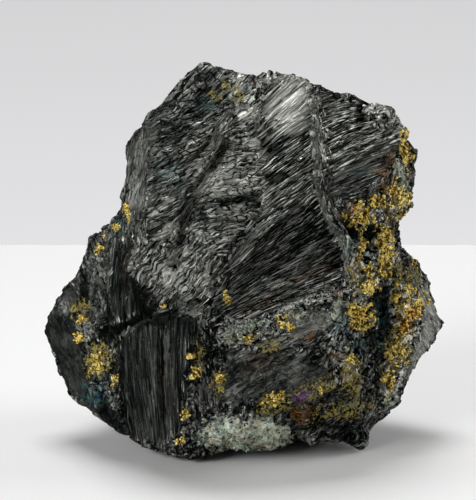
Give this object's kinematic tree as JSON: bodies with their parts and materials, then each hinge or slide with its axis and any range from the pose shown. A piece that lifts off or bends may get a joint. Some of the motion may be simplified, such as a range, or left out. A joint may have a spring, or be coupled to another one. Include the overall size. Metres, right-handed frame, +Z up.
{
  "type": "wolframite mineral specimen",
  "caption": "Hand-size wolframite specimen: striated black blades with brassy chalcopyrite crusts and a pale quartz and mica patch, resting on a small flat spot.",
  "frame": {"origin": "centre of the specimen's footprint, on the surface that it rests on", "axes": "+Z up, the striated face that the picture shows looks towards -Y, +X to that viewer's right"},
  "size_m": [0.0824, 0.0564, 0.0778],
  "materials": {
    "wolframite": "black submetallic ore with fine striations and a silvery sheen",
    "chalcopyrite": "brassy metallic grains, tarnished red-brown, purple and blue-green in places",
    "matrix": "pale green-white granular quartz and mica"
  },
  "bodies": {
    "root": {"wolframite": "wolframite"}
  },
  "joints": []
}
